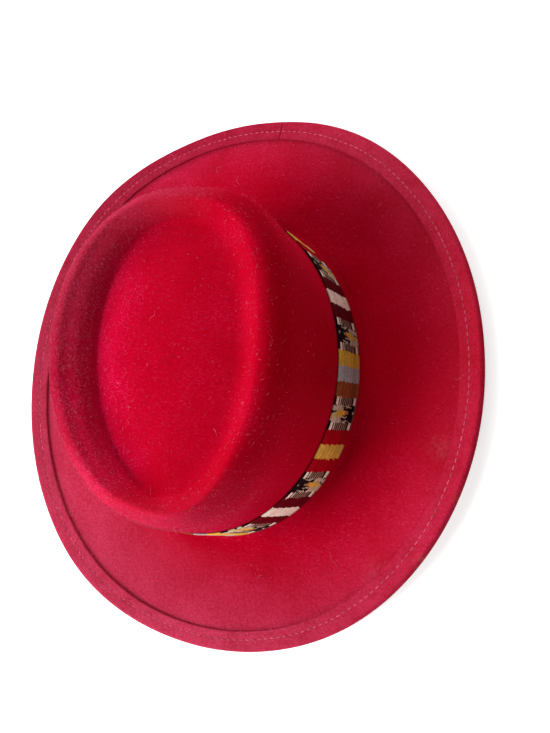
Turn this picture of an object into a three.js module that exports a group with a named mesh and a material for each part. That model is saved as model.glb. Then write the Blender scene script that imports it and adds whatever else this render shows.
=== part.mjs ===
// A red felt fedora: telescope crown with one oval dent, wide bound brim, woven ribbon band.
// Millimetres, +Z up. The origin is on the floor under the middle of the hat, its front faces -Y.
import * as THREE from "three";
import { mergeVertices } from "three/addons/utils/BufferGeometryUtils.js";

const { degToRad, lerp, radToDeg, smoothstep } = THREE.MathUtils;

// Cloth thicknesses and the clearance that neighbouring pieces keep
const feltThickness = 2.0;
const bindingThickness = 1.4;
const ribbonThickness = 0.9;
const clearance = 0.3;

// The brim's top face lies this high where the bound edge rests on the floor
const brimTop = bindingThickness + clearance + feltThickness;

// Brim: outline of the felt's cut edge, a little fuller than an oval of power 2, and its curl
const brim = { halfWidth: 160.5, halfLength: 173, fullness: 2.06, sideLift: 8, curl: 2.5 };
const restZone = { flat: 0.15, raised: 0.75 }; // as |cos| of the angle from the wearer's left

// Crown: rings from the middle of the dent down to the start of the brim
const topTaper = -0.045; // the dent and the crest are wider towards the front
const crownRake = -0.038; // slope of the crown's top, higher at the front
const crownShift = 3; // the crown stands this far behind the middle of the brim
const dentShift = { right: 2.2, back: 1.8 }; // the dent was pressed a little off the crown's middle

// The right half of the dent is softer: it falls a little, then rises to the crest in one slope
const softSide = {
  front: [80, 135], // degrees from the wearer's left, where it starts and where it is full
  back: [55, 100],
  fall: 2.2,
  slope: [44, 66], // half widths of the ring between which it rises
  blend: [59.6, 65.6], // half widths between which it joins the crest
  frontFullness: 2.75, // the crest's front corner is squarer than an oval of power 2
  backReach: 0.1, // the crest's back corner lies this share further back
  backCorner: [75, 125], // degrees, where that starts and where it is full
};

const crownSections = [
  { name: "dent middle", halfWidth: 0, halfLength: 0, height: 87.8, steps: 1 },
  { name: "dent floor", halfWidth: 27.2, halfLength: 42, height: 85.9, steps: 2 },
  { name: "dent edge", halfWidth: 45.9, halfLength: 71, height: 81.5, steps: 1 },
  { name: "dent foot", halfWidth: 49.5, halfLength: 76.7, height: 80.8, steps: 1 },
  { name: "dent rise", halfWidth: 51.5, halfLength: 78, height: 84.2, steps: 1 },
  { name: "dent wall", halfWidth: 55, halfLength: 79.9, height: 89.6, steps: 1 },
  { name: "crest inside", halfWidth: 59.8, halfLength: 81.8, height: 92.9, steps: 1 },
  { name: "crest", halfWidth: 63.6, halfLength: 83.6, height: 94.8, steps: 1 },
  { name: "crest outside", halfWidth: 69.8, halfLength: 86.6, height: 93.5, steps: 2 },
  { name: "shoulder", halfWidth: 76.2, halfLength: 93, height: 86.2, steps: 1 },
  { name: "wall", halfWidth: 81.8, halfLength: 97.9, height: 62, steps: 1 },
  { name: "band top", halfWidth: 87.5, halfLength: 99.8, height: 40, steps: 1 },
  { name: "band middle", halfWidth: 88, halfLength: 101.2, height: 22, steps: 1 },
  { name: "wall foot", halfWidth: 88.2, halfLength: 101.9, height: 8.5, steps: 1 },
  { name: "band foot", halfWidth: 89.1, halfLength: 102.8, height: 5, steps: 1 },
  { name: "break", halfWidth: 91.8, halfLength: 105.5, height: brimTop, steps: 1 },
  { name: "brim start", halfWidth: 96, halfLength: 109.7, height: brimTop, steps: 0 },
];
const brimSteps = 6;

// Binding: how far each leg reaches in from the felt's edge, and how its fold bulges
const binding = { reach: 10.8, foldBulge: 0.8, buttGap: 0.4 };
const ribbonButtGap = 0.4;

const columns = 64; // facet columns round the hat
const bindingJoin = degToRad(-104.5); // just beside the middle of the front
const ribbonJoin = 0; // at the wearer's left

const sectionAt = (name) => crownSections.findIndex((section) => section.name === name);
const lastSection = crownSections.length - 1;
const sectionNamed = (name) => crownSections[sectionAt(name)];
const start = crownSections[lastSection];
const dentMiddle = sectionNamed("dent middle");
const dentFloor = sectionNamed("dent floor");
const dentFoot = sectionNamed("dent foot");
const crest = sectionNamed("crest");
const shoulder = sectionNamed("shoulder");
const wall = sectionNamed("wall");
const bandTop = sectionNamed("band top");
const crownCurve = new THREE.CatmullRomCurve3(
  crownSections.map((s) => new THREE.Vector3(s.halfWidth, s.halfLength, s.height)),
);

// A station runs from 0 in the middle of the dent over 1 at the brim's start to 2 at its cut edge
const stationOf = (section, part = 0) => (section + part) / lastSection;
const brimWidth = brim.halfWidth - start.halfWidth;
const stationInFromEdge = (distance) => 2 - distance / brimWidth;

// Reach of a squarish round compared with a true one, 1 on its axes
function roundness(across, along, power) {
  return (Math.abs(across) ** power + Math.abs(along) ** power) ** (-1 / power);
}

// How far an angle belongs to the softer right half, 0 to 1
function rightShareAt(across, along) {
  const [from, to] = along < 0 ? softSide.front : softSide.back;
  return smoothstep(radToDeg(Math.acos(across)), from, to);
}

// Height of a crown ring, changed in the right half of the dent
function ringHeight(ring, rightShare) {
  const floor = dentMiddle.height - softSide.fall * (ring.x / softSide.slope[0]) ** 2;
  const softHeight = lerp(floor, crest.height, smoothstep(ring.x, ...softSide.slope));
  const inDent = smoothstep(ring.x, 0, dentFloor.halfWidth) * (1 - smoothstep(ring.x, ...softSide.blend));
  return lerp(ring.z, softHeight, inDent * rightShare);
}

// How much a crown ring swells at the right-hand corners of the crest
function ringSwell(ring, across, along, rightShare) {
  if (along < 0) {
    const toCrest = smoothstep(ring.x, dentFloor.halfWidth, crest.halfWidth);
    const pastShoulder = smoothstep(ring.x, shoulder.halfWidth, bandTop.halfWidth);
    const fullness = roundness(across, along, softSide.frontFullness) - 1;
    const corner = fullness * rightShare * toCrest * (1 - pastShoulder);
    return { x: 1 + corner, y: 1 + corner };
  }
  const toCrest = smoothstep(ring.x, dentFoot.halfWidth, crest.halfWidth);
  const pastCrest = smoothstep(ring.x, crest.halfWidth, wall.halfWidth);
  const atCorner = smoothstep(radToDeg(Math.acos(across)), ...softSide.backCorner);
  return { x: 1, y: 1 + softSide.backReach * atCorner * toCrest * (1 - pastCrest) };
}

// Point of the felt's outer face, by station and by angle from the wearer's left
function feltPoint(station, angle) {
  const across = Math.cos(angle);
  const along = Math.sin(angle);
  if (station <= 1) {
    const ring = crownCurve.getPoint(Math.max(station, 0));
    const rightShare = rightShareAt(across, along);
    const height = ringHeight(ring, rightShare);
    const swell = ringSwell(ring, across, along, rightShare);
    const taperShare = 1 - smoothstep(ring.x, crest.halfWidth, bandTop.halfWidth);
    const dentShare = 1 - smoothstep(ring.x, dentFoot.halfWidth, crest.halfWidth);
    const x = ring.x * across * swell.x * (1 + topTaper * taperShare * along);
    const y = ring.y * along * swell.y;
    const rakeShare = (height - brimTop) / (crest.height - brimTop);
    return new THREE.Vector3(
      x - dentShift.right * dentShare,
      y + dentShift.back * dentShare + crownShift,
      height + crownRake * y * rakeShare,
    );
  }
  const share = station - 1;
  const side = smoothstep(Math.abs(across), restZone.flat, restZone.raised);
  const full = roundness(across, along, brim.fullness);
  return new THREE.Vector3(
    lerp(start.halfWidth, brim.halfWidth * full, share) * across,
    lerp(start.halfLength, brim.halfLength * full, share) * along + crownShift * (1 - share),
    brimTop + brim.sideLift * side * share ** brim.curl,
  );
}

// Directions on the outer face: outward along the profile, and square to the face
function feltFrame(station, angle) {
  const small = 1e-3;
  const inner = Math.max(station, 2 * small);
  const outward = feltPoint(inner + small, angle).sub(feltPoint(inner - small, angle)).normalize();
  const around = feltPoint(inner, angle + small).sub(feltPoint(inner, angle - small)).normalize();
  const normal = outward.clone().cross(around).normalize();
  return { outward, normal };
}

// Point at a height over the outer face, below it where negative
function offsetPoint(station, angle, height) {
  return feltPoint(station, angle).addScaledVector(feltFrame(station, angle).normal, height);
}

// Closed mesh from columns that each list a face side and a back side, point by point
function sheetGeometry(sheetColumns, { isLoop, hasInnerRim }) {
  const corners = [];
  const triangle = (a, b, c) => {
    const tiny = 1e-6;
    if (a.distanceTo(b) > tiny && b.distanceTo(c) > tiny && c.distanceTo(a) > tiny) {
      corners.push(a, b, c);
    }
  };
  const quad = (a, b, c, d) => {
    triangle(a, b, c);
    triangle(a, c, d);
  };
  const rows = sheetColumns[0].face.length;
  const spans = isLoop ? sheetColumns.length : sheetColumns.length - 1;
  for (let i = 0; i < spans; i += 1) {
    const here = sheetColumns[i];
    const next = sheetColumns[(i + 1) % sheetColumns.length];
    for (let k = 0; k + 1 < rows; k += 1) {
      quad(here.face[k], here.face[k + 1], next.face[k + 1], next.face[k]);
      quad(here.back[k], next.back[k], next.back[k + 1], here.back[k + 1]);
    }
    const last = rows - 1;
    quad(here.face[last], here.back[last], next.back[last], next.face[last]);
    if (hasInnerRim) {
      quad(here.face[0], next.face[0], next.back[0], here.back[0]);
    }
  }
  if (!isLoop) {
    const first = sheetColumns[0];
    const final = sheetColumns[sheetColumns.length - 1];
    for (let k = 0; k + 1 < rows; k += 1) {
      quad(first.face[k], first.back[k], first.back[k + 1], first.face[k + 1]);
      quad(final.face[k], final.face[k + 1], final.back[k + 1], final.back[k]);
    }
  }
  const geometry = new THREE.BufferGeometry().setFromPoints(corners);
  const merged = mergeVertices(geometry, 1e-4);
  merged.computeVertexNormals();
  return merged;
}

// Angles of the columns of a strip that starts and ends at a butt join
function stripAngles(joinAngle, halfGap) {
  const angles = [];
  for (let i = 0; i <= columns; i += 1) {
    const nudge = i === 0 ? halfGap : i === columns ? -halfGap : 0;
    angles.push(joinAngle + (2 * Math.PI * i) / columns + nudge);
  }
  return angles;
}

// Stations of the facet rows between two crown sections, both included
function crownStations(firstName, lastName) {
  const stations = [];
  for (let i = sectionAt(firstName); i < sectionAt(lastName); i += 1) {
    const { steps } = crownSections[i];
    for (let k = 0; k < steps; k += 1) {
      stations.push(stationOf(i, k / steps));
    }
  }
  stations.push(stationOf(sectionAt(lastName)));
  return stations;
}

// Crown and brim: one shell of felt, its underside a felt's thickness below the outer face
function feltBodyGeometry() {
  const stations = crownStations("dent middle", "brim start");
  for (let k = 1; k <= brimSteps; k += 1) {
    stations.push(1 + k / brimSteps);
  }
  const sheetColumns = [];
  for (let i = 0; i < columns; i += 1) {
    const angle = (2 * Math.PI * i) / columns;
    const angleAt = (station) => (station === 0 ? 0 : angle);
    sheetColumns.push({
      face: stations.map((s) => feltPoint(s, angleAt(s))),
      back: stations.map((s) => offsetPoint(s, angleAt(s), -feltThickness)),
    });
  }
  return sheetGeometry(sheetColumns, { isLoop: true, hasInnerRim: false });
}

// Felt strip folded round the brim's cut edge, with a leg above and a leg below
function edgeBindingGeometry() {
  const legStations = [binding.reach, binding.reach / 2].map(stationInFromEdge);
  const innerHalf = feltThickness / 2 + clearance;
  const outerHalf = innerHalf + bindingThickness;
  const column = (angle) => {
    const { outward, normal } = feltFrame(2, angle);
    const middle = offsetPoint(2, angle, -feltThickness / 2);
    const place = (out, up) => middle.clone().addScaledVector(outward, out).addScaledVector(normal, up);
    const leg = (height) => legStations.map((s) => offsetPoint(s, angle, height));
    const slot = [
      place(0, innerHalf),
      place(clearance, innerHalf),
      place(clearance, 0),
      place(clearance, -innerHalf),
      place(0, -innerHalf),
    ];
    const fold = slot.map((_, k) => {
      const turn = Math.PI / 2 - (Math.PI * k) / (slot.length - 1);
      return place(outerHalf * binding.foldBulge * Math.cos(turn), outerHalf * Math.sin(turn));
    });
    return {
      face: [...leg(clearance + bindingThickness), ...fold,
        ...leg(-feltThickness - clearance - bindingThickness).reverse()],
      back: [...leg(clearance), ...slot, ...leg(-feltThickness - clearance).reverse()],
    };
  };
  const halfGap = binding.buttGap / 2 / brim.halfLength;
  const sheetColumns = stripAngles(bindingJoin, halfGap).map(column);
  return sheetGeometry(sheetColumns, { isLoop: false, hasInnerRim: true });
}

// Woven ribbon lying on the foot of the crown's wall
function hatBandGeometry() {
  const stations = crownStations("band top", "band foot");
  const halfGap = ribbonButtGap / 2 / start.halfWidth;
  const sheetColumns = stripAngles(ribbonJoin, halfGap).map((angle) => ({
    face: stations.map((s) => offsetPoint(s, angle, clearance + ribbonThickness)),
    back: stations.map((s) => offsetPoint(s, angle, clearance)),
  }));
  return sheetGeometry(sheetColumns, { isLoop: false, hasInnerRim: true });
}

function clothMesh(name, geometry, color, roughness) {
  const material = new THREE.MeshStandardMaterial({ color, roughness, metalness: 0 });
  const mesh = new THREE.Mesh(geometry, material);
  mesh.name = name;
  return mesh;
}

const hat = new THREE.Group();
hat.add(clothMesh("felt_body", feltBodyGeometry(), 0xb80a24, 0.95));
hat.add(clothMesh("edge_binding", edgeBindingGeometry(), 0xb51029, 0.95));
hat.add(clothMesh("hat_band", hatBandGeometry(), 0x8c6a3a, 0.85));

export default hat;
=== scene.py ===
import math
import bpy
import numpy as np
from mathutils import Matrix, Vector


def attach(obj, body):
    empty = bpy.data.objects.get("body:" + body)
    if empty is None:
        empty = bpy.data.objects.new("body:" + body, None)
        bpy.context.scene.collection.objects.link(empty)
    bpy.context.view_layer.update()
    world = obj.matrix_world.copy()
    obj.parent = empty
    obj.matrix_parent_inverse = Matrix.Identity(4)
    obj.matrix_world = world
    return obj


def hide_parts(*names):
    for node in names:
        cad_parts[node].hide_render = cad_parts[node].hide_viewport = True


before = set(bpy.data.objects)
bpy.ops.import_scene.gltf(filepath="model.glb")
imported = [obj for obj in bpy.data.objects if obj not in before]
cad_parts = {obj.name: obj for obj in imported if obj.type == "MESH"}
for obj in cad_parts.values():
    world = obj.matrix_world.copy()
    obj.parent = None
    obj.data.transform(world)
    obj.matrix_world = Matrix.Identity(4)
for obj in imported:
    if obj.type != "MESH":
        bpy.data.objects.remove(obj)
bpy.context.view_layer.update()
print("frame loaded:", ", ".join(sorted(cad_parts)))

mm = 0.001
turn = 2 * math.pi
small = 1e-3  # step for slopes
samples = {"round": 4001, "down": 400}  # points that a length is measured with
bindingJoin = math.radians(-104.5)  # angles run from the wearer's left, the hat's front faces -Y
dice = np.random.default_rng(11)

# Hat form, in millimetres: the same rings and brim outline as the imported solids
cloth = {"felt": 2.0, "binding": 1.4, "ribbon": 0.9, "clearance": 0.3}
brimTop = cloth["felt"] + cloth["binding"] + cloth["clearance"]
brimForm = {"halfWidth": 160.5, "halfLength": 173.0, "fullness": 2.06, "sideLift": 8.0, "curl": 2.5}
restZone = {"flat": 0.15, "raised": 0.75}  # as |cos| of the angle
crownForm = {"topTaper": -0.045, "rake": -0.038, "shift": 3.0, "dentRight": 2.2, "dentBack": 1.8}
softSide = {  # the right half of the dent is softer, from these angles in front and behind
    "front": (80.0, 135.0), "back": (55.0, 100.0), "fall": 2.2, "slope": (44.0, 66.0), "blend": (59.6, 65.6),
    "frontFullness": 2.75, "backReach": 0.10, "backCorner": (75.0, 125.0),
}
crownRings = {  # half width, half length, height
    "dentMiddle": (0.0, 0.0, 87.8),
    "dentFloor": (27.2, 42.0, 85.9),
    "dentEdge": (45.9, 71.0, 81.5),
    "dentFoot": (49.5, 76.7, 80.8),
    "dentRise": (51.5, 78.0, 84.2),
    "dentWall": (55.0, 79.9, 89.6),
    "crestInside": (59.8, 81.8, 92.9),
    "crest": (63.6, 83.6, 94.8),
    "crestOutside": (69.8, 86.6, 93.5),
    "shoulder": (76.2, 93.0, 86.2),
    "wall": (81.8, 97.9, 62.0),
    "bandTop": (87.5, 99.8, 40.0),
    "bandMiddle": (88.0, 101.2, 22.0),
    "wallFoot": (88.2, 101.9, 8.5),
    "bandFoot": (89.1, 102.8, 5.0),
    "break": (91.8, 105.5, brimTop),
    "brimStart": (96.0, 109.7, brimTop),
}
ringNames = list(crownRings)
ringPoints = np.array(list(crownRings.values()))
lastRing = len(ringNames) - 1
brimSpan = brimForm["halfWidth"] - crownRings["brimStart"][0]  # at the sides


def ringStation(name):
    return ringNames.index(name) / lastRing


def smoothStep(value, low, high):
    share = np.clip((value - low) / (high - low), 0, 1)
    return share * share * (3 - 2 * share)


# Share of the way from one named ring to another
def between(station, first, last):
    return smoothStep(station, ringStation(first), ringStation(last))


# Smooth curve through the rings, station 0 to 1, knots spaced by the root of the distance
def crownRing(station):
    place = np.clip(station, 0, 1) * lastRing
    index = np.minimum(place.astype(int), lastRing - 1)
    share = (place - index)[..., None]
    before = 2 * ringPoints[0] - ringPoints[1]
    after = 2 * ringPoints[-1] - ringPoints[-2]
    padded = np.vstack([before, ringPoints, after])
    p0, p1, p2, p3 = (padded[index + k] for k in range(4))
    steps = ((p0, p1), (p1, p2), (p2, p3))
    g0, g1, g2 = (np.sqrt(np.linalg.norm(b - a, axis=-1, keepdims=True)) for a, b in steps)
    slope1 = ((p1 - p0) / g0 - (p2 - p0) / (g0 + g1) + (p2 - p1) / g1) * g1
    slope2 = ((p2 - p1) / g1 - (p3 - p1) / (g1 + g2) + (p3 - p2) / g2) * g1
    cubic = 2 * p1 - 2 * p2 + slope1 + slope2
    square = -3 * p1 + 3 * p2 - 2 * slope1 - slope2
    return p1 + share * (slope1 + share * (square + share * cubic))


# Reach of a squarish round compared with a true one, 1 on its axes
def roundness(across, along, power):
    return (np.abs(across) ** power + np.abs(along) ** power) ** (-1 / power)


# Outer face of the felt: station 0 in the dent, 1 where the brim starts, 2 at its cut edge
def feltPoint(station, angle):
    station, angle = np.broadcast_arrays(np.asarray(station, float), np.asarray(angle, float))
    across, along = np.cos(angle), np.sin(angle)
    ring = crownRing(station)
    wide, high = ring[..., 0], ring[..., 2]
    crest, bandTop = crownRings["crest"], crownRings["bandTop"]
    inFront = along < 0
    fromLeft = np.degrees(np.arccos(across))
    frontShare = smoothStep(fromLeft, *softSide["front"])
    backShare = smoothStep(fromLeft, *softSide["back"])
    rightShare = np.where(inFront, frontShare, backShare)
    # there it falls a little, then rises to the crest in one slope
    slopeFrom, slopeTo = softSide["slope"]
    floor = crownRings["dentMiddle"][2] - softSide["fall"] * (wide / slopeFrom) ** 2
    softHigh = floor + (crest[2] - floor) * smoothStep(wide, slopeFrom, slopeTo)
    inDent = smoothStep(wide, 0, crownRings["dentFloor"][0]) * (1 - smoothStep(wide, *softSide["blend"]))
    high = high + (softHigh - high) * inDent * rightShare
    # and the crest is fuller at the right-hand corners
    toCrest = smoothStep(wide, crownRings["dentFloor"][0], crest[0])
    pastShoulder = smoothStep(wide, crownRings["shoulder"][0], bandTop[0])
    fullness = roundness(across, along, softSide["frontFullness"]) - 1
    corner = fullness * rightShare * toCrest * (1 - pastShoulder)
    toCrest = smoothStep(wide, crownRings["dentFoot"][0], crest[0])
    pastCrest = smoothStep(wide, crest[0], crownRings["wall"][0])
    reach = softSide["backReach"] * smoothStep(fromLeft, *softSide["backCorner"]) * toCrest * (1 - pastCrest)
    swellX = 1 + np.where(inFront, corner, 0)
    swellY = 1 + np.where(inFront, corner, reach)
    taperShare = 1 - smoothStep(wide, crest[0], bandTop[0])
    crownX = wide * across * swellX * (1 + crownForm["topTaper"] * taperShare * along)
    crownY = ring[..., 1] * along * swellY
    rakeShare = (high - brimTop) / (crest[2] - brimTop)
    crownZ = high + crownForm["rake"] * crownY * rakeShare
    dentShare = 1 - smoothStep(wide, crownRings["dentFoot"][0], crest[0])
    crownX = crownX - crownForm["dentRight"] * dentShare
    crownY = crownY + crownForm["dentBack"] * dentShare
    share = np.maximum(station - 1, 0)
    start = crownRings["brimStart"]
    full = roundness(across, along, brimForm["fullness"])
    brimX = (start[0] + (brimForm["halfWidth"] * full - start[0]) * share) * across
    brimY = (start[1] + (brimForm["halfLength"] * full - start[1]) * share) * along
    side = smoothStep(np.abs(across), restZone["flat"], restZone["raised"])
    brimZ = brimTop + brimForm["sideLift"] * side * share ** brimForm["curl"]
    onCrown = station <= 1
    x = np.where(onCrown, crownX, brimX)
    y = np.where(onCrown, crownY + crownForm["shift"], brimY + crownForm["shift"] * (1 - share))
    z = np.where(onCrown, crownZ, brimZ)
    return np.stack([x, y, z], -1)


def unit(vectors):
    return vectors / np.linalg.norm(vectors, axis=-1, keepdims=True)


# Directions on the outer face: outward along the profile, round the hat, square to the face
def feltFrame(station, angle):
    inner = np.maximum(station, 2 * small)
    outward = unit(feltPoint(inner + small, angle) - feltPoint(inner - small, angle))
    around = unit(feltPoint(inner, angle + small) - feltPoint(inner, angle - small))
    return outward, around, unit(np.cross(outward, around))


def overFelt(station, angle, height):
    normal = feltFrame(station, angle)[2]
    return feltPoint(station, angle) + normal * np.asarray(height, float)[..., None]


# Length run so far along a line of points
def runAlong(points):
    return np.concatenate([[0], np.cumsum(np.linalg.norm(np.diff(points, axis=0), axis=1))])


# Angles evenly spaced by length round the hat at one station, from the join and back to it
def evenAngles(station, firstAngle, count, gap):
    dense = np.linspace(firstAngle, firstAngle + turn, samples["round"])
    run = runAlong(feltPoint(station, dense))
    return np.interp(np.linspace(gap / 2, run[-1] - gap / 2, count), run, dense), run[-1]


# Mesh helpers
def newPiece(name, points, faces, material):
    mesh = bpy.data.meshes.new(name)
    mesh.from_pydata((np.asarray(points) * mm).tolist(), [], faces)
    mesh.validate()
    mesh.polygons.foreach_set("use_smooth", np.ones(len(mesh.polygons), bool))
    mesh.materials.append(material)
    mesh.update()
    piece = bpy.data.objects.new(name, mesh)
    bpy.context.scene.collection.objects.link(piece)
    return piece


# Closed sheet from a face and a back, each columns x rows x 3; loops close round the hat
def sheetFaces(columns, faceRows, backRows, isLoop, hasInnerRim):
    faceAt = np.arange(columns * faceRows).reshape(columns, faceRows)
    backAt = faceAt.size + np.arange(columns * backRows).reshape(columns, backRows)
    nextFace, nextBack = np.roll(faceAt, -1, 0), np.roll(backAt, -1, 0)
    if not isLoop:
        faceEnd, backEnd = faceAt[[0, -1]], backAt[[0, -1]]
        faceAt, nextFace, backAt, nextBack = faceAt[:-1], nextFace[:-1], backAt[:-1], nextBack[:-1]
    quads = [
        np.stack([faceAt[:, :-1], faceAt[:, 1:], nextFace[:, 1:], nextFace[:, :-1]], -1).reshape(-1, 4),
        np.stack([backAt[:, :-1], nextBack[:, :-1], nextBack[:, 1:], backAt[:, 1:]], -1).reshape(-1, 4),
        np.stack([faceAt[:, -1], backAt[:, -1], nextBack[:, -1], nextFace[:, -1]], -1),
    ]
    if hasInnerRim:
        quads.append(np.stack([faceAt[:, 0], nextFace[:, 0], nextBack[:, 0], backAt[:, 0]], -1))
    faces = np.concatenate(quads).tolist()
    if not isLoop:  # the two cut ends, one polygon each
        faces.append(faceEnd[0, ::-1].tolist() + backEnd[0].tolist())
        faces.append(faceEnd[1].tolist() + backEnd[1, ::-1].tolist())
    return faces


# Threads and hairs: closed prisms along many short centre lines, count x points x 3
def strandMesh(centres, radii, sides):
    count, rings = centres.shape[:2]
    along = unit(np.gradient(centres, axis=1))
    nearlyUpright = 0.9
    helper = np.where(np.abs(along[..., 2:]) < nearlyUpright, [0.0, 0.0, 1.0], [1.0, 0.0, 0.0])
    right = unit(np.cross(along, helper))
    up = np.cross(right, along)
    spin = np.arange(sides) * turn / sides
    circle = right[:, :, None] * np.cos(spin)[:, None] + up[:, :, None] * np.sin(spin)[:, None]
    points = (centres[:, :, None] + circle * radii[:, :, None, None]).reshape(-1, 3)
    at = np.arange(count * rings * sides).reshape(count, rings, sides)
    turned = np.roll(at, -1, 2)
    walls = np.stack([at[:, :-1], at[:, 1:], turned[:, 1:], turned[:, :-1]], -1).reshape(-1, 4)
    caps = np.concatenate([at[:, 0], at[:, -1, ::-1]])
    return points, walls.tolist() + caps.tolist()


# Threads, ribbon and loose wool carry their colour on the mesh
def paint(piece, domain, colours):
    layer = piece.data.attributes.new("yarnColour", "FLOAT_COLOR", domain)
    opaque = np.hstack([colours, np.ones((len(colours), 1))])
    layer.data.foreach_set("color", opaque.astype(np.float32).ravel())


# Node helpers
def feed(tree, socket, value):
    if isinstance(value, bpy.types.NodeSocket):
        tree.links.new(value, socket)
    else:
        socket.default_value = value


def addNode(tree, kind, settings=None, values=None):
    node = tree.nodes.new("ShaderNode" + kind)
    for key, value in (settings or {}).items():
        setattr(node, key, value)
    for key, value in (values or {}).items():
        socket = next(s for s in node.inputs if key in (s.identifier, s.name) and s.enabled)
        feed(tree, socket, value)
    return node


def attribute(tree, name, output="Fac"):
    return addNode(tree, "Attribute", {"attribute_name": name}).outputs[output]


def mixColour(tree, factor, first, second):
    values = {"Factor_Float": factor, "A_Color": first, "B_Color": second}
    node = addNode(tree, "Mix", {"data_type": "RGBA"}, values)
    return next(s for s in node.outputs if s.identifier == "Result_Color")


def maths(tree, operation, first, second):
    node = addNode(tree, "Math", {"operation": operation})
    feed(tree, node.inputs[0], first)
    feed(tree, node.inputs[1], second)
    return node.outputs[0]


def times(tree, first, second):
    return maths(tree, "MULTIPLY", first, second)


def ramp(tree, value, low, high):
    values = {"Value": value, "From Min": low, "From Max": high}
    return addNode(tree, "MapRange", None, values).outputs[0]


def noise(tree, place, scale, detail):
    return addNode(tree, "TexNoise", None, {"Vector": place, "Scale": scale, "Detail": detail}).outputs[0]


def addBump(tree, shader, strength, depth, height):
    bump = addNode(tree, "Bump", None, {"Strength": strength, "Distance": depth, "Height": height})
    tree.links.new(bump.outputs[0], shader.inputs["Normal"])


def newGroup(name, inputs, outputs):
    group = bpy.data.node_groups.new(name, "ShaderNodeTree")
    for label, value in inputs.items():
        kind = "NodeSocketVector" if isinstance(value, tuple) else "NodeSocketFloat"
        group.interface.new_socket(label, in_out="INPUT", socket_type=kind).default_value = value
    for label in outputs:
        group.interface.new_socket(label, in_out="OUTPUT", socket_type="NodeSocketFloat")
    return group, group.nodes.new("NodeGroupInput").outputs, group.nodes.new("NodeGroupOutput").inputs


def placeGroup(tree, group, values):
    node = tree.nodes.new("ShaderNodeGroup")
    node.node_tree = group
    for label, value in values.items():
        node.inputs[label].default_value = value
    return node.outputs


def newMaterial(name, constants):
    material = bpy.data.materials.new(name)
    material.use_nodes = True
    tree = material.node_tree
    shader = next(n for n in tree.nodes if n.type == "BSDF_PRINCIPLED")
    for label, value in constants.items():
        shader.inputs[label].default_value = value
    return material, tree, shader


# Felted wool: soft clouds of tone, short pale fibres lying every way, a fine nap
woolGrain = {
    "leans": (0.3, 1.35, 2.4),  # three sets of fibres, each lying its own way
    "tilt": 0.4, "roll": 0.2, "slimness": 4.5, "cutoff": 0.78, "cutoffDrop": 0.3, "edge": 0.09,
    "fibreHeight": 0.6, "cloudDetail": 4.0, "napDetail": 3.0, "fibreDetail": 1.0,
}


def makeFeltGrain():
    inputs = {"Cloud Size": 0.03, "Fibre Length": 0.002, "Fibre Share": 0.3, "Nap Size": 0.0008}
    group, given, put = newGroup("feltGrain", inputs, ["Cloud", "Nap", "Fibres", "Height"])
    place = addNode(group, "TexCoord").outputs["Object"]
    cloudScale = maths(group, "DIVIDE", 1.0, given["Cloud Size"])
    cloud = noise(group, place, cloudScale, woolGrain["cloudDetail"])
    napScale = maths(group, "DIVIDE", 1.0, given["Nap Size"])
    nap = noise(group, place, napScale, woolGrain["napDetail"])
    fibreScale = maths(group, "DIVIDE", 1.0, given["Fibre Length"])
    drop = times(group, given["Fibre Share"], woolGrain["cutoffDrop"])
    threshold = maths(group, "SUBTRACT", woolGrain["cutoff"], drop)
    sharp = maths(group, "ADD", threshold, woolGrain["edge"])
    slim = woolGrain["slimness"]
    fibres = None
    for lean in woolGrain["leans"]:
        rotation = (woolGrain["tilt"] * lean, woolGrain["roll"], lean)
        values = {"Vector": place, "Rotation": rotation, "Scale": (1.0, slim, slim)}
        laid = addNode(group, "Mapping", None, values).outputs[0]
        layer = ramp(group, noise(group, laid, fibreScale, woolGrain["fibreDetail"]), threshold, sharp)
        fibres = layer if fibres is None else maths(group, "MAXIMUM", fibres, layer)
    height = maths(group, "ADD", nap, times(group, fibres, woolGrain["fibreHeight"]))
    for label, value in (("Cloud", cloud), ("Nap", nap), ("Fibres", fibres), ("Height", height)):
        group.links.new(value, put[label])
    return group


# Rubbed or dusty patch round a point, broken up like a real mark
rubbedForm = {"soft": (1.0, 0.2), "breakScale": 420.0, "breakDetail": 3.0, "breakRange": (0.4, 0.62)}


def makeRubbedPatch():
    inputs = {"Centre": (0.0, 0.0, 0.0), "Radius": 0.01}
    group, given, put = newGroup("rubbedPatch", inputs, ["Patch"])
    place = addNode(group, "TexCoord").outputs["Object"]
    apart = addNode(group, "VectorMath", {"operation": "DISTANCE"}, {"Vector": place})
    group.links.new(given["Centre"], apart.inputs[1])
    near = maths(group, "DIVIDE", apart.outputs["Value"], given["Radius"])
    soft = ramp(group, near, *rubbedForm["soft"])
    broken = noise(group, place, rubbedForm["breakScale"], rubbedForm["breakDetail"])
    group.links.new(times(group, soft, ramp(group, broken, *rubbedForm["breakRange"])), put["Patch"])
    return group


feltGrain = makeFeltGrain()
rubbedPatch = makeRubbedPatch()

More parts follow.
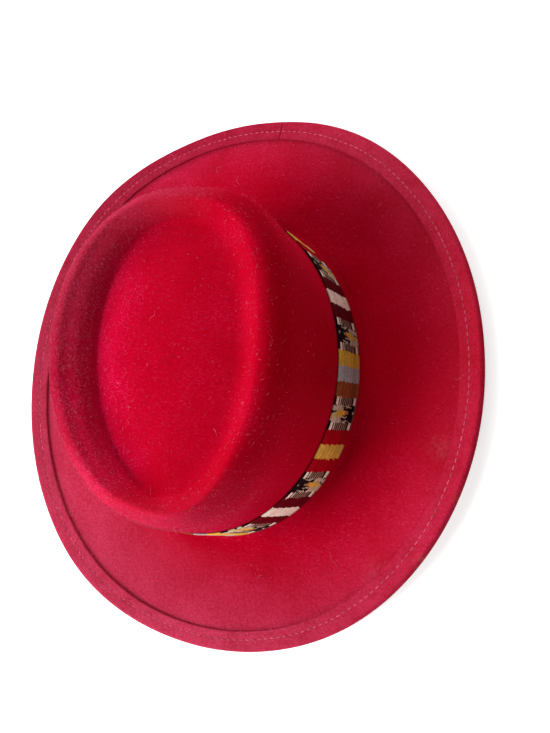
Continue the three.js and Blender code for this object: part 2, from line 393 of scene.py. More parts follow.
# Felt finishes: crown and brim, and the strip that binds the edge
feltFinish = {
    # deep and lifted are the felt's own mottled red; the second red pair is a painted crimson tint for the
    # lit side; the pale colour is rubbed nap and painted sheen
    "deep": (0.29, 0.0001, 0.003, 1), "lifted": (0.34, 0.0002, 0.006, 1), "wornAndSheen": (0.41, 0.038, 0.080, 1),
    "litSideDeep": (0.28, 0.0003, 0.012, 1), "litSideLifted": (0.38, 0.0009, 0.030, 1),
    "fibre": (0.72, 0.034, 0.13, 1), "fibreShow": 0.9, "napShow": 0.6,
    "cloudRange": (0.3, 0.7), "napRange": (0.36, 0.64), "wearAndSheenRange": (-0.6, 0.9), "tuftRange": (0.32, 0.68),
    "roughness": 0.95, "sheen": 0.22, "sheenRoughness": 0.5, "sheenTint": (1.0, 0.03, 0.11, 1),
    "grain": {"Cloud Size": 0.028, "Fibre Length": 0.0024, "Fibre Share": 0.5, "Nap Size": 0.0016},
    "bump": 0.8, "bumpDepth": 0.0006, "bumpRange": (-0.3, 1.0),
    "patches": [((-0.135, 0.055, 0.010), 0.010, 0.16), ((-0.098, 0.125, 0.006), 0.012, 0.14)],
    "patchColour": (0.30, 0.11, 0.12, 1),
}
bindingFinish = {
    **feltFinish,
    "grain": {"Cloud Size": 0.012, "Fibre Length": 0.0020, "Fibre Share": 0.5, "Nap Size": 0.0016},
    "patches": [((-0.150, 0.085, 0.012), 0.009, 0.4), ((-0.125, 0.118, 0.010), 0.008, 0.3)],
    "patchColour": (0.32, 0.15, 0.06, 1),
}


def makeFelt(name, finish):
    constants = {
        "Roughness": finish["roughness"], "Specular IOR Level": 0.0, "Sheen Weight": finish["sheen"],
        "Sheen Roughness": finish["sheenRoughness"], "Sheen Tint": finish["sheenTint"],
    }
    material, tree, shader = newMaterial(name, constants)
    grain = placeGroup(tree, feltGrain, finish["grain"])
    cloudPart = times(tree, ramp(tree, grain["Cloud"], *finish["cloudRange"]), 1 - finish["napShow"])
    napPart = times(tree, ramp(tree, grain["Nap"], *finish["napRange"]), finish["napShow"])
    mottle = maths(tree, "ADD", cloudPart, napPart)
    # painted lit-side tint: crimson where the light falls, plain red in shade
    litSideTint = attribute(tree, "litSideTint")
    red = mixColour(tree, mottle, finish["deep"], finish["lifted"])
    crimson = mixColour(tree, mottle, finish["litSideDeep"], finish["litSideLifted"])
    colour = mixColour(tree, litSideTint, red, crimson)
    # pale rubbed nap and painted sheen
    rubbedAndSheen = times(tree, attribute(tree, "pale"), ramp(tree, mottle, *finish["wearAndSheenRange"]))
    colour = mixColour(tree, rubbedAndSheen, colour, finish["wornAndSheen"])
    # fibre flecks show only where the painted lit-side tint is
    tufts = times(tree, ramp(tree, grain["Cloud"], *finish["tuftRange"]), finish["fibreShow"])
    showing = times(tree, grain["Fibres"], times(tree, tufts, litSideTint))
    colour = mixColour(tree, showing, colour, finish["fibre"])
    for centre, radius, strength in finish["patches"]:
        patch = placeGroup(tree, rubbedPatch, {"Centre": centre, "Radius": radius})
        colour = mixColour(tree, times(tree, patch["Patch"], strength), colour, finish["patchColour"])
    # tone makes the colour lighter or darker: painted light and shade
    toned = {"Vector": colour, "Scale": attribute(tree, "tone")}
    colour = addNode(tree, "VectorMath", {"operation": "SCALE"}, toned).outputs[0]
    tree.links.new(colour, shader.inputs["Base Color"])
    height = times(tree, grain["Height"], ramp(tree, litSideTint, *finish["bumpRange"]))
    addBump(tree, shader, finish["bump"], finish["bumpDepth"], height)
    return material


# Thread, ribbon yarn and loose wool
yarnFinish = {
    "constants": {"Roughness": 0.9, "Specular IOR Level": 0.04},
    "grainDetail": 2.0, "shadeRange": (0.25, 0.75), "darkShare": 0.28, "bumpDepth": 0.0003,
}


def makeYarn(name, grainSize, bumpStrength):
    material, tree, shader = newMaterial(name, yarnFinish["constants"])
    tint = attribute(tree, "yarnColour", "Color")
    place = addNode(tree, "TexCoord").outputs["Object"]
    grain = noise(tree, place, 1 / grainSize, yarnFinish["grainDetail"])
    dark = mixColour(tree, yarnFinish["darkShare"], tint, (0, 0, 0, 1))
    colour = mixColour(tree, ramp(tree, grain, *yarnFinish["shadeRange"]), dark, tint)
    tree.links.new(colour, shader.inputs["Base Color"])
    addBump(tree, shader, bumpStrength, yarnFinish["bumpDepth"], grain)
    return material


redFelt = makeFelt("redFelt", feltFinish)
bindingFelt = makeFelt("bindingFelt", bindingFinish)
wovenYarn = makeYarn("wovenYarn", 0.0005, 0.5)
sewingThread = makeYarn("sewingThread", 0.0003, 0.4)
looseWool = makeYarn("looseWool", 0.002, 0.1)
print("materials ready")

# Wear of the nap, painted sheen, a painted lit-side tint, and painted light and shade. The rows go round the
# hat by angle from the wearer's left
wearAndLight = {
    "angles": [0, 45, 90, 135, 180, 225, 270, 315, 360],
    "edge": [1.0, 1.0, 0.95, 0.42, 0.24, 0.58, 0.38, 0.55, 1.0],  # how pale the brim's edge is: rubbed nap and painted sheen, most on the lit side
    "fade": [0.6, 0.5, 1.1, 2.4, 2.6, 2.6, 2.6, 1.8, 0.6],  # how fast that fades inward
    "edgePaintedLight": [0.84, 0.95, 0.98, 1.0, 1.10, 1.0, 0.78, 0.70, 0.84],  # how light the bound edge is, painted light and shade
    "brim": [0.9, 1.0, 0.95, 0.65, 0.25, 0.5, 0.7, 0.9, 0.9],  # painted crimson tint for the lit side, on the brim
    "wall": [0.9, 1.0, 0.8, 0.22, 0.0, 0.12, 0.5, 0.8, 0.9],  # and on the crown's wall
    # share of the painted lit-side tint on the inner brim and in the dent, more on its lit left
    "innerBrim": 0.35, "dent": 0.28, "dentLeft": 0.66, "dentLeftReach": 0.15,
    # pale lobes on the crest, rubbed nap and painted sheen: middle angle, how narrow, how much, share of it
    # inside the crest
    "crestWearAndSheen": [(-55.0, 1.3, 1.0, 0.4), (66.0, 1.2, 0.36, 0.25)],
    # painted light and shade, lighter and darker lobes: middle angle, how narrow, how much
    "innerRim": [(38.0, 1.3, 0.48), (-80.0, 1.6, -0.22)],
    "outerRim": [(-25.0, 1.0, -0.28), (60.0, 1.8, 0.24)],
    "wallPaintedLight": [(128.0, 2.2, 0.22)],
    "brimPaintedLight": [(145.0, 2.2, 0.12), (212.0, 2.2, -0.13), (72.0, 2.5, -0.10)],
    "dentPaintedLight": 0.10, "dentPaintedLightReach": 0.1, "middlePaintedShade": -0.02, "middleReach": (0.05, 0.1),
}


def roundHat(angle, key):
    return np.interp(np.degrees(angle) % 360, wearAndLight["angles"], wearAndLight[key])


def lobe(angle, middleDeg, sharpness):
    apart = (angle - math.radians(middleDeg) + math.pi) % turn - math.pi
    return np.cos(np.clip(apart * sharpness, -math.pi / 2, math.pi / 2))


def lobes(angle, places):
    return sum(amount * lobe(angle, middle, sharpness) for middle, sharpness, amount in places)


# Pale where the nap is rubbed, and painted sheen on the lit edge and crest
def paleWearAndSheenMask(station, angle):
    pastCrest = between(station, "crestInside", "shoulder")
    onCrown = 0.0
    for middle, sharpness, amount, inside in wearAndLight["crestWearAndSheen"]:
        rubbedAndSheen = amount * lobe(angle, middle, sharpness) * (inside + (1 - inside) * pastCrest)
        onCrown = np.maximum(onCrown, rubbedAndSheen)
    onCrown = onCrown * between(station, "dentFoot", "crestInside")
    onCrown = onCrown * (1 - between(station, "shoulder", "bandTop"))
    onBrim = roundHat(angle, "edge") * np.clip(station - 1, 0, 1) ** roundHat(angle, "fade")
    return np.clip(np.where(station > 1, onBrim, onCrown), 0, 1)


# Painted crimson tint for the lit side of the hat
def litSideTintMask(station, angle, atFoot):
    onBrim, onWall, innerBrim = roundHat(angle, "brim"), roundHat(angle, "wall"), wearAndLight["innerBrim"]
    fromMiddle = smoothStep(station, 0.0, wearAndLight["dentLeftReach"])
    inDent = wearAndLight["dent"] + wearAndLight["dentLeft"] * np.clip(np.cos(angle), 0, 1) * fromMiddle
    onWall = onWall + (onBrim * innerBrim - onWall) * atFoot
    onCrown = inDent + (onWall - inDent) * between(station, "crest", "shoulder")
    onBrim = onBrim * (innerBrim + (1 - innerBrim) * np.clip(station - 1, 0, 1))
    return np.clip(np.where(station > 1, onBrim, onCrown), 0, 1)


# Painted light and shade: lighter and darker by place round the hat
def paintedLightMask(station, angle, atFoot):
    toCrest = between(station, "dentRise", "crest")
    onInner = between(station, "dentEdge", "dentRise") * (1 - toCrest)
    onOuter = toCrest * (1 - atFoot)
    onWall = between(station, "shoulder", "wall") * (1 - atFoot)
    onFloor = (1 - between(station, "dentEdge", "dentWall")) * smoothStep(station, 0.0, wearAndLight["dentPaintedLightReach"])
    atMiddle = 1 - smoothStep(station, *wearAndLight["middleReach"])
    onCrown = 1 + lobes(angle, wearAndLight["innerRim"]) * onInner + lobes(angle, wearAndLight["wallPaintedLight"]) * onWall
    onCrown = onCrown + lobes(angle, wearAndLight["outerRim"]) * onOuter
    onCrown = onCrown + wearAndLight["dentPaintedLight"] * np.cos(angle) * onFloor + wearAndLight["middlePaintedShade"] * atMiddle
    onBrim = 1 + lobes(angle, wearAndLight["brimPaintedLight"]) * np.sin(math.pi * np.clip(station - 1, 0, 1))
    return np.where(station > 1, onBrim, onCrown)


# Three masks: pale where the nap is rubbed and for painted sheen, a painted lit-side tint where it looks
# crimson, and tone, painted light and shade for how light it is
def wearAndLightMasks(station, angle):
    station, angle = np.broadcast_arrays(station, angle)
    atFoot = smoothStep(station, ringStation("wallFoot"), 1.0)
    return paleWearAndSheenMask(station, angle), litSideTintMask(station, angle, atFoot), paintedLightMask(station, angle, atFoot)


def markWearAndLight(piece, masks):
    for name, values in zip(("pale", "litSideTint", "tone"), masks):
        layer = piece.data.attributes.new(name, "FLOAT", "POINT")
        layer.data.foreach_set("value", values.ravel().astype(np.float32))


# Crown and brim, one shell of felt
feltMesh = {"columns": 300, "crownRows": 132, "brimRows": 44, "backCrownRows": 66, "backBrimRows": 22}


def makeFeltBody():
    angles = np.arange(feltMesh["columns"]) * turn / feltMesh["columns"]

    def shell(crownRows, brimRows, height):
        stations = np.concatenate([np.linspace(0, 1, crownRows)[1:], np.linspace(1, 2, brimRows)[1:]])
        grid = np.broadcast_to(stations, (len(angles), len(stations)))
        return grid, overFelt(grid, angles[:, None], np.full(grid.shape, height))

    faceGrid, face = shell(feltMesh["crownRows"], feltMesh["brimRows"], 0.0)
    backGrid, back = shell(feltMesh["backCrownRows"], feltMesh["backBrimRows"], -cloth["felt"])
    middle = feltPoint(0.0, 0.0)
    middles = [middle, middle - [0, 0, cloth["felt"]]]
    points = np.concatenate([face.reshape(-1, 3), back.reshape(-1, 3), middles])
    faces = sheetFaces(len(angles), face.shape[1], back.shape[1], True, False)
    faceStart = np.arange(len(angles)) * face.shape[1]
    backStart = face.shape[0] * face.shape[1] + np.arange(len(angles)) * back.shape[1]
    topPoint, lowPoint = len(points) - 2, len(points) - 1
    for here, following in zip(faceStart, np.roll(faceStart, -1)):
        faces.append([topPoint, int(here), int(following)])
    for here, following in zip(backStart, np.roll(backStart, -1)):
        faces.append([lowPoint, int(following), int(here)])
    piece = newPiece("felt_shell", points, faces, redFelt)
    # masks of rubbed nap with painted sheen, painted lit-side tint, and painted light and shade
    grids = [wearAndLightMasks(grid, angles[:, None]) for grid in (faceGrid, backGrid)]
    middleMasks = (0.0, wearAndLight["dent"], 1 + wearAndLight["middlePaintedShade"])
    masks = []
    for onFace, onBack, atMiddle in zip(*grids, middleMasks):
        masks.append(np.concatenate([onFace.ravel(), onBack.ravel(), [atMiddle] * len(middles)]))
    markWearAndLight(piece, masks)
    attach(piece, "root")
    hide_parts("felt_body")


makeFeltBody()
print("felt shell made")

# Felt strip folded round the brim's edge, pulled down along its row of stitches
binding = {
    "reach": 10.8, "foldBulge": 0.8, "foldRows": 15, "buttGap": 0.25, "columnsPerStitch": 4,
    "cutInsets": (10.8, 10.7, 10.4, 9.9), "insets": (9.2, 0.6, 15),  # first, last and how many
    "cutDip": 0.55, "cutWidth": 0.25, "groove": 0.32, "grooveWidth": 0.9, "pull": (0.75, 0.25),
}
stitch = {
    "inset": 5.5, "pitch": 4.2, "dash": 2.9, "thread": 0.35, "rings": 7, "sides": 7,
    "bury": 0.55, "tip": 0.45, "lift": 0.10, "underSink": 0.28,
    "wander": 0.10, "slant": 0.06, "dashSpread": (0.88, 1.08),
    "colour": (0.54, 0.085, 0.14), "colourSpread": 0.16,
}


def stationInFromEdge(distance):
    return 2 - distance / brimSpan


def makeBinding():
    stitchStation = stationInFromEdge(stitch["inset"])
    length = evenAngles(stitchStation, bindingJoin, 2, 0)[1]
    stitches = round(length / stitch["pitch"])
    count = stitches * binding["columnsPerStitch"] + 1
    angles = evenAngles(stitchStation, bindingJoin, count, binding["buttGap"])[0]
    phase = np.arange(count) / binding["columnsPerStitch"]
    pullMean, pullSwing = binding["pull"]
    pull = pullMean + pullSwing * np.cos(turn * phase)  # deepest where the thread goes in
    insets = np.concatenate([binding["cutInsets"], np.linspace(*binding["insets"])])
    outward, _, normal = feltFrame(np.full(count, 2.0), angles)
    half = cloth["felt"] / 2
    middle = feltPoint(np.full(count, 2.0), angles) - normal * half
    gap = cloth["clearance"]
    high = gap + cloth["binding"]
    inner = half + gap
    outer = inner + cloth["binding"]

    def leg(side, height, shaped):
        rows = []
        for inset in insets:
            dip = 0.0
            if shaped:
                away = (inset - stitch["inset"]) / binding["grooveWidth"]
                cutEdge = binding["cutDip"] * math.exp(-(binding["reach"] - inset) / binding["cutWidth"])
                dip = binding["groove"] * math.exp(-away * away) * pull + cutEdge
            station = np.full(count, stationInFromEdge(inset))
            lift = height - dip if side > 0 else -cloth["felt"] - height + dip
            rows.append(overFelt(station, angles, lift + np.zeros(count)))
        return rows if side > 0 else rows[::-1]

    def place(out, up):
        return middle + outward * out + normal * up

    bends = np.linspace(math.pi / 2, -math.pi / 2, binding["foldRows"])
    fold = [place(outer * binding["foldBulge"] * math.cos(b), outer * math.sin(b)) for b in bends]
    slot = [place(0, inner), place(gap, inner), place(gap, 0), place(gap, -inner), place(0, -inner)]
    face = np.stack(leg(1, high, True) + fold + leg(-1, high, True), 1)
    back = np.stack(leg(1, gap, False) + slot + leg(-1, gap, False), 1)
    points = np.concatenate([face.reshape(-1, 3), back.reshape(-1, 3)])
    faces = sheetFaces(count, face.shape[1], back.shape[1], False, True)
    piece = newPiece("bound_edge", points, faces, bindingFelt)
    # the edge's masks: rubbed nap with painted sheen, painted lit-side tint, and painted light and shade
    pale, litSideTint, _ = wearAndLightMasks(np.full(count, 2.0), angles)
    masks = []
    for mask in (pale, litSideTint, roundHat(angles, "edgePaintedLight")):
        masks.append(np.concatenate([np.repeat(mask, rows.shape[1]) for rows in (face, back)]))
    markWearAndLight(piece, masks)
    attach(piece, "root")
    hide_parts("edge_binding")
    return stitches, stitchStation


def makeStitches(stitches, stitchStation):
    middles, length = evenAngles(stitchStation, bindingJoin, stitches + 1, binding["buttGap"])
    middles = (middles[:-1] + middles[1:]) / 2
    rings, sides = stitch["rings"], stitch["sides"]
    sweep = np.linspace(-0.5, 0.5, rings)
    angleSpan = stitch["dash"] / length * turn
    high = cloth["clearance"] + cloth["binding"] - binding["groove"]
    arch = np.sqrt(np.clip(1 - (2 * sweep) ** 2, 0, 1))
    allPoints, allFaces, colours = [], [], []
    for side in (1, -1):
        wander = dice.normal(0, stitch["wander"], (stitches, 1))
        slant = dice.normal(0, stitch["slant"], (stitches, 1))
        station = stationInFromEdge(stitch["inset"] + wander + slant * sweep)
        angles = middles[:, None] + angleSpan * sweep * dice.uniform(*stitch["dashSpread"], (stitches, 1))
        lift = high + stitch["thread"] * (arch - stitch["bury"])
        lift = lift + (stitch["lift"] if side > 0 else -stitch["underSink"])
        height = np.broadcast_to(lift if side > 0 else -cloth["felt"] - lift, angles.shape)
        centres = overFelt(station, angles, height)
        radii = np.broadcast_to(stitch["thread"] * (stitch["tip"] + (1 - stitch["tip"]) * arch), angles.shape)
        points, faces = strandMesh(centres, radii, sides)
        start = sum(len(p) for p in allPoints)
        allFaces += [[corner + start for corner in face] for face in faces]
        allPoints.append(points)
        shade = 1 + dice.normal(0, stitch["colourSpread"], (stitches, 1))
        colours.append(np.repeat(np.array(stitch["colour"]) * shade, rings * sides, 0))
    piece = newPiece("edge_stitches", np.concatenate(allPoints), allFaces, sewingThread)
    paint(piece, "POINT", np.concatenate(colours).clip(0, 1))
    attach(piece, "root")


makeStitches(*makeBinding())
print("bound edge and stitches made")

# Woven ribbon: one unit of the repeat is three colour blocks, then a stepped figure between two tick rows
yarns = {
    "k": (0.010, 0.004, 0.005),  # black ground
    "c": (0.80, 0.56, 0.47),  # cream
    "d": (0.48, 0.34, 0.26),  # dull cream
    "b": (0.48, 0.32, 0.14),  # beige
    "g": (0.62, 0.34, 0.04),  # gold
    "o": (0.46, 0.16, 0.03),  # orange
    "r": (0.34, 0.0005, 0.007),  # red
    "m": (0.10, 0.001, 0.005),  # maroon
    "u": (0.26, 0.055, 0.016),  # rust
    "y": (0.58, 0.31, 0.05),  # mustard
    "l": (0.36, 0.31, 0.31),  # grey lavender
    "t": (0.30, 0.16, 0.11),  # dull tick
}
ribbon = {
    "ribs": 22, "ribProfile": (0.0, 0.8, 1.0, 0.8), "ribDepth": 0.22, "overUnder": 0.06, "stepsPerCell": 2,
    "units": 13, "blockCells": 6, "tickCells": 3, "figureCells": 7, "blocks": ["ulg", "mcm", "ryr"],
    "ticks": "kcckcktktktktktktkkcck",
    "figureTurns": "ddudududududu",  # which figures have their base up, which down
    "figure": [  # half a cell a line, from the base of the figure to its tip across the ribbon
        "kdddddddddkddddkkkkkkk",
        "ddddddddddkkddddddkkkk",
        "dddddddddkkkkkkkkkkkkk",
        "bddddddbbkkkkkkkkkkkkk",
        "bbbbbbbbbbdddddkkkkkkk",
        "bbbbbggggbkkkkkkkkkkkk",
        "bbbggggggggookkkkkkkkk",
        "kbbgggggggggoottkkkkdk",
        "kkkbggggggggoottkkkkdk",
        "ddkbbbggggbbookkkkkkkk",
        "ddddbbbbbbkkkkkkkkkkkk",
        "dddddddddkkkkkkkkkkkkk",
        "ddddddddddkkddddddkkkk",
        "kkdddddddkkddddkkkkkkk",
    ],
    "anchorDeg": 167.0, "skewCells": 2.2, "strayShare": 0.05, "strayCells": 0.5, "toneSpread": 0.09,
    "paintedLightLobes": [(112.0, 1.6, 0.34), (220.0, 1.6, -0.14)],  # painted light at the back end and painted shade at the front right: middle angle, how narrow, how much lighter
    "buttGap": 0.4, "standOff": 0.15, "standOffReach": 7.0, "rimShade": 0.8,
    "selvedge": (0.30, 0.12, 0.10), "selvedgeShare": 0.4, "noSelvedge": "rm",
    "backColour": (0.10, 0.004, 0.010),
}
allBlocks = len(ribbon["blocks"][0]) * ribbon["blockCells"]  # cells of a unit before its figure
unitCells = allBlocks + 2 * ribbon["tickCells"] + ribbon["figureCells"]


def ribbonCode(cell, rib, unitIndex):
    blockCells, tickCells = ribbon["blockCells"], ribbon["tickCells"]
    blocks = ribbon["blocks"][unitIndex % len(ribbon["blocks"])]
    if cell < allBlocks:
        return blocks[int(cell // blockCells)]
    cell -= allBlocks
    if cell < tickCells or cell >= tickCells + ribbon["figureCells"]:
        return ribbon["ticks"][rib]
    line = ribbon["figure"][int((cell - tickCells) / ribbon["figureCells"] * len(ribbon["figure"]))]
    baseUp = ribbon["figureTurns"][unitIndex % ribbon["units"]] == "u"
    return line[rib] if baseUp else line[-1 - rib]


# Colour of the yarn that shows at each step along the ribbon and each rib across it
def ribbonColours(angles):
    steps, ribs = len(angles) - 1, ribbon["ribs"]
    anchorStep = np.interp(math.radians(ribbon["anchorDeg"]), angles, np.arange(steps + 1))
    cells = (np.arange(steps) + 0.5) / ribbon["stepsPerCell"] - anchorStep / ribbon["stepsPerCell"]
    skew = ribbon["skewCells"] * ((np.arange(ribs) + 0.5) / ribs - 0.5)  # the weave runs a little askew
    isStray = dice.uniform(size=(steps, ribs)) < ribbon["strayShare"]
    stray = np.where(isStray, ribbon["strayCells"], 0.0)
    ribTone = 1 + dice.normal(0, ribbon["toneSpread"], ribs)
    cellTone = 1 + dice.normal(0, ribbon["toneSpread"], (steps, ribs))
    # painted light on the ribbon's back end, painted shade at its front right
    fade = 1 + lobes((angles[:-1] + angles[1:]) / 2, ribbon["paintedLightLobes"])
    edgeShare = ribbon["selvedgeShare"]
    colours = np.empty((steps, ribs, 3))
    for step, cell in enumerate(cells):
        for rib in range(ribs):
            moved = cell - skew[rib] + stray[step, rib]
            unitIndex = math.floor(moved / unitCells)
            code = ribbonCode(moved - unitIndex * unitCells, rib, unitIndex)
            tone = np.array(yarns[code]) * ribTone[rib] * cellTone[step, rib] * fade[step]
            if rib == ribs - 1 and code not in ribbon["noSelvedge"]:
                tone = tone * (1 - edgeShare) + np.array(ribbon["selvedge"]) * edgeShare
            colours[step, rib] = tone
    return colours


def makeRibbon():
    ribs, ribRows = ribbon["ribs"], len(ribbon["ribProfile"])
    steps = ribbon["units"] * unitCells * ribbon["stepsPerCell"]
    angles = evenAngles(ringStation("bandMiddle"), 0.0, steps + 1, ribbon["buttGap"])[0]
    # stations evenly spaced down the ribbon's width
    dense = np.linspace(ringStation("bandTop"), ringStation("bandFoot"), samples["down"])
    run = runAlong(feltPoint(dense, math.pi))
    rows = ribs * ribRows + 1
    across = np.linspace(0, run[-1], rows)
    stations = np.interp(across, run, dense)
    profile = np.array(ribbon["ribProfile"])[np.arange(rows) % ribRows]
    ribOfRow = np.minimum(np.arange(rows) // ribRows, ribs - 1)
    lean = ribbon["standOff"] * np.clip(1 - across / ribbon["standOffReach"], 0, 1) ** 2
    brick = np.where((np.arange(steps + 1)[:, None] + ribOfRow) % 2 == 0, 1.0, 0.0)
    relief = ribbon["ribDepth"] * (profile - 1) + ribbon["overUnder"] * (brick - 1) * profile
    grid = np.broadcast_to(stations, (steps + 1, rows))
    face = overFelt(grid, angles[:, None], cloth["clearance"] + cloth["ribbon"] + lean + relief)
    backRows = [0, rows // 6, rows // 3, rows // 2, rows * 3 // 4, rows - 1]
    backLift = np.broadcast_to((cloth["clearance"] + lean)[backRows], (steps + 1, len(backRows)))
    back = overFelt(grid[:, backRows], angles[:, None], backLift)
    points = np.concatenate([face.reshape(-1, 3), back.reshape(-1, 3)])
    faces = sheetFaces(steps + 1, rows, len(backRows), False, True)
    piece = newPiece("woven_band", points, faces, wovenYarn)
    colours = ribbonColours(angles)
    front = np.repeat(colours, ribRows, 1).reshape(-1, 3)
    behind = np.tile(ribbon["backColour"], (steps * (len(backRows) - 1), 1))
    rims = np.concatenate([colours[:, -1], colours[:, 0]]) * ribbon["rimShade"]
    ends = np.tile(ribbon["backColour"], (2, 1))
    paint(piece, "FACE", np.concatenate([front, behind, rims, ends]).clip(0, 1))
    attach(piece, "root")
    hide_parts("hat_band")


makeRibbon()
print("woven band made")

# Loose wool: short fuzz standing off the nap, thicker round the crown's crest, and a few long hairs
fuzz = {
    "wool_fuzz": {
        "count": 9800, "length": (0.9, 2.4), "radius": 0.048, "rise": 0.35, "low": 0.02, "high": 2.0,
    },
    "crest_fuzz": {
        "count": 9000, "length": (1.0, 2.6), "radius": 0.046, "rise": 0.75,
        "low": ringStation("dentRise"), "high": ringStation("wall"),
    },
}
fuzzForm = {
    "taper": (0.8, 1.0, 0.9, 0.45), "sides": 3, "radiusSpread": (0.7, 1.3), "bend": 0.8,
    "pale": (0.84, 0.20, 0.30), "red": (0.44, 0.003, 0.035),
    "paleMix": (0.8, 1.8),  # most are red, a few quite pale
}
longHairs = {
    "count": 30, "length": (4.0, 12.0), "radius": 0.05, "radiusSpread": (0.8, 1.2), "taper": (0.12, 0.76),
    "rise": 0.8, "points": 13, "sides": 4, "bend": 1.6, "low": 0.02, "high": 2.0,
    "colour": (0.64, 0.22, 0.25),
}
hairForm = {"rootSink": 0.06, "wobble": 0.7, "lift": (0.3, 1.0), "liftTurn": 0.62}
scatter = {"tries": 12, "bareShare": 0.04, "aboveRibbon": 0.004, "belowRibbon": 0.01}


# Random places on the outer face between two stations, most where the painted lit-side tint is strong, clear
# of the ribbon
def feltPlaces(count, low, high):
    station = dice.uniform(low, high, count * scatter["tries"])
    angle = dice.uniform(0, turn, count * scatter["tries"])
    point = feltPoint(station, angle)
    alongStep = feltPoint(station + small, angle) - point
    roundStep = feltPoint(station, angle + small) - point
    area = np.linalg.norm(np.cross(alongStep, roundStep), axis=1)
    litSideTint = wearAndLightMasks(station, angle)[1]
    area = area * (scatter["bareShare"] + (1 - scatter["bareShare"]) * litSideTint ** 2)
    keep = dice.uniform(0, area.max(), len(area)) < area
    ribbonFrom = ringStation("bandTop") - scatter["aboveRibbon"]
    ribbonTo = ringStation("bandFoot") + scatter["belowRibbon"]
    keep &= ~((station > ribbonFrom) & (station < ribbonTo))
    return station[keep][:count], angle[keep][:count]


def overBinding(station):
    inset = (2 - station) * brimSpan
    return np.where(inset < binding["reach"], cloth["clearance"] + cloth["binding"], 0.0)


def hairLines(places, points, lengths, rise, bendiness):
    station, angle = places
    each = (len(station), 1)
    outward, around, normal = feltFrame(station, angle)
    root = feltPoint(station, angle) + normal * (overBinding(station) - hairForm["rootSink"])[:, None]
    heading = dice.uniform(0, turn, len(station))[:, None]
    share = np.linspace(0, 1, points)
    bend = dice.normal(0, bendiness, each)
    wobble = dice.normal(0, bendiness * hairForm["wobble"], each)
    course = heading + bend * share + wobble * np.sin(turn * share + heading)
    length = dice.uniform(*lengths, each)
    stepLength = length / (points - 1)
    run = np.cumsum(np.cos(course) * stepLength, 1) - np.cos(course[:, :1]) * stepLength
    drift = np.cumsum(np.sin(course) * stepLength, 1) - np.sin(course[:, :1]) * stepLength
    lift = dice.uniform(*hairForm["lift"], each) * rise * np.sin(math.pi * hairForm["liftTurn"] * share)
    centres = root[:, None] + outward[:, None] * run[..., None]
    return centres + around[:, None] * drift[..., None] + normal[:, None] * lift[..., None]


def makeFuzz(name, form):
    rings, sides = len(fuzzForm["taper"]), fuzzForm["sides"]
    places = feltPlaces(form["count"], form["low"], form["high"])
    centres = hairLines(places, rings, form["length"], form["rise"], fuzzForm["bend"])
    each = (len(centres), 1)
    radii = form["radius"] * np.array(fuzzForm["taper"]) * dice.uniform(*fuzzForm["radiusSpread"], each)
    points, faces = strandMesh(centres, radii, sides)
    piece = newPiece(name, points, faces, looseWool)
    mix = dice.beta(*fuzzForm["paleMix"], each)
    tones = np.array(fuzzForm["red"]) * (1 - mix) + np.array(fuzzForm["pale"]) * mix
    paint(piece, "POINT", np.repeat(tones, rings * sides, 0))
    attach(piece, "root")


def makeLongHairs():
    rings = longHairs["points"]
    places = feltPlaces(longHairs["count"], longHairs["low"], longHairs["high"])
    centres = hairLines(places, rings, longHairs["length"], longHairs["rise"], longHairs["bend"])
    taperStart, taperSpan = longHairs["taper"]
    taper = np.sin(math.pi * (taperStart + taperSpan * np.linspace(0, 1, rings)))
    radii = longHairs["radius"] * taper * dice.uniform(*longHairs["radiusSpread"], (len(centres), 1))
    points, faces = strandMesh(centres, radii, longHairs["sides"])
    piece = newPiece("wool_hairs", points, faces, looseWool)
    paint(piece, "POINT", np.tile(longHairs["colour"], (len(points), 1)))
    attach(piece, "root")


for fuzzName, fuzzPiece in fuzz.items():
    makeFuzz(fuzzName, fuzzPiece)
makeLongHairs()
print("loose wool made")

# Pale floor, soft light and the camera
studio = {
    "floorSize": 8.0, "floorTone": 0.8, "floorRoughness": 0.9, "floorGlow": 0.55, "worldStrength": 0.05,
    "lightAway": 1.3,
    "lights": {  # turn from the wearer's left, rise, size, watts
        "softBox": (22.0, 37.0, 0.9, 23.0),
        "topFill": (20.0, 56.0, 0.7, 6.0),
        "frontFill": (312.0, 36.0, 0.7, 6.5),
        "lowFront": (270.0, 18.0, 0.7, 14.0),
        "backFill": (90.0, 26.0, 0.7, 8.5),
        "rightFill": (180.0, 30.0, 0.7, 2.2),
    },
}
view = {
    "rise": 63.97, "swing": 25.26, "roll": 0.085, "away": 0.394, "slide": (0.04696, -0.00468),
    "aim": (0.0, 0.0, 0.045), "focalPixels": 650.0, "longSide": 733, "sensor": 36.0, "nearClip": 0.01,
}


def makeFloor():
    half, tone = studio["floorSize"] / 2, studio["floorTone"]
    corners = [(-half, -half, 0), (half, -half, 0), (half, half, 0), (-half, half, 0)]
    mesh = bpy.data.meshes.new("floor")
    mesh.from_pydata(corners, [], [(0, 1, 2, 3)])
    constants = {"Base Color": (tone, tone, tone, 1), "Roughness": studio["floorRoughness"]}
    material, tree, shader = newMaterial("paleFloor", constants)
    shader.inputs["Emission Color"].default_value = (1, 1, 1, 1)
    seen = times(tree, addNode(tree, "LightPath").outputs["Is Camera Ray"], studio["floorGlow"])
    tree.links.new(seen, shader.inputs["Emission Strength"])
    mesh.materials.append(material)
    floor = bpy.data.objects.new("floor", mesh)
    bpy.context.scene.collection.objects.link(floor)


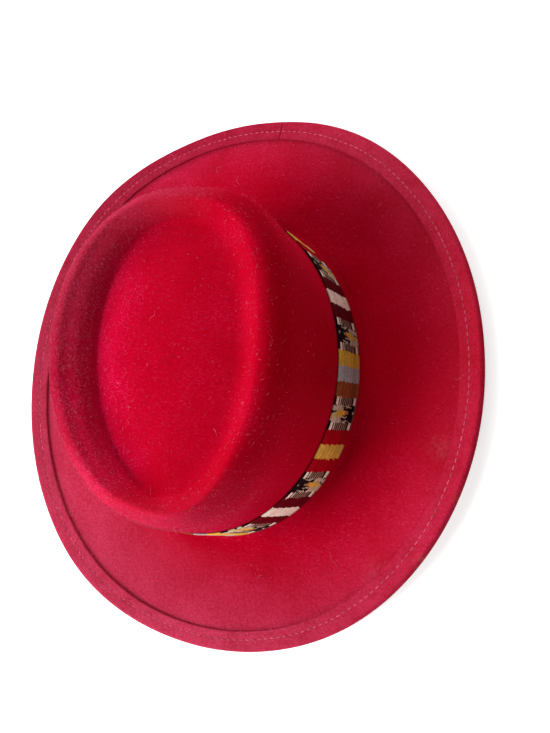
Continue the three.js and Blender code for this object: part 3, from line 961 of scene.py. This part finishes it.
def makeLights():
    world = bpy.data.worlds.new("softRoom")
    world.use_nodes = True
    tree = world.node_tree
    back = next(n for n in tree.nodes if n.type == "BACKGROUND")
    isSeen = addNode(tree, "LightPath").outputs["Is Camera Ray"]
    values = {"Value": isSeen, "To Min": studio["worldStrength"], "To Max": 1.0}
    tree.links.new(addNode(tree, "MapRange", None, values).outputs[0], back.inputs["Strength"])
    back.inputs["Color"].default_value = (1, 1, 1, 1)
    bpy.context.scene.world = world
    for name, (turnTo, rise, size, watts) in studio["lights"].items():
        turnTo, rise = math.radians(turnTo), math.radians(rise)
        level = math.cos(rise)
        toward = Vector((level * math.cos(turnTo), level * math.sin(turnTo), math.sin(rise)))
        lamp = bpy.data.lights.new(name, "AREA")
        lamp.size = size
        lamp.energy = watts
        light = bpy.data.objects.new(name, lamp)
        light.location = toward * studio["lightAway"]
        light.rotation_euler = toward.to_track_quat("Z", "Y").to_euler()
        bpy.context.scene.collection.objects.link(light)


def makeCamera():
    rise, swing, roll = (math.radians(view[key]) for key in ("rise", "swing", "roll"))
    toCamera = Vector((-math.cos(rise) * math.cos(swing), math.cos(rise) * math.sin(swing), math.sin(rise)))
    ahead = -toCamera
    level = Vector((0, -1, 0))
    level = (level - ahead * level.dot(ahead)).normalized()
    side = ahead.cross(level)
    up = math.cos(roll) * level + math.sin(roll) * side
    right = ahead.cross(up)
    slideRight, slideUp = view["slide"]
    place = Vector(view["aim"]) + right * slideRight + up * slideUp + toCamera * view["away"]
    data = bpy.data.cameras.new("camera")
    data.sensor_fit = "AUTO"
    data.sensor_width = view["sensor"]
    data.lens = view["focalPixels"] * view["sensor"] / view["longSide"]
    data.clip_start = view["nearClip"]
    camera = bpy.data.objects.new("camera", data)
    camera.matrix_world = Matrix.Translation(place) @ Matrix((right, up, toCamera)).transposed().to_4x4()
    bpy.context.scene.collection.objects.link(camera)
    bpy.context.scene.camera = camera


makeFloor()
makeLights()
makeCamera()
bpy.context.scene.view_settings.view_transform = "Standard"
print("studio ready")

bpy.context.view_layer.update()
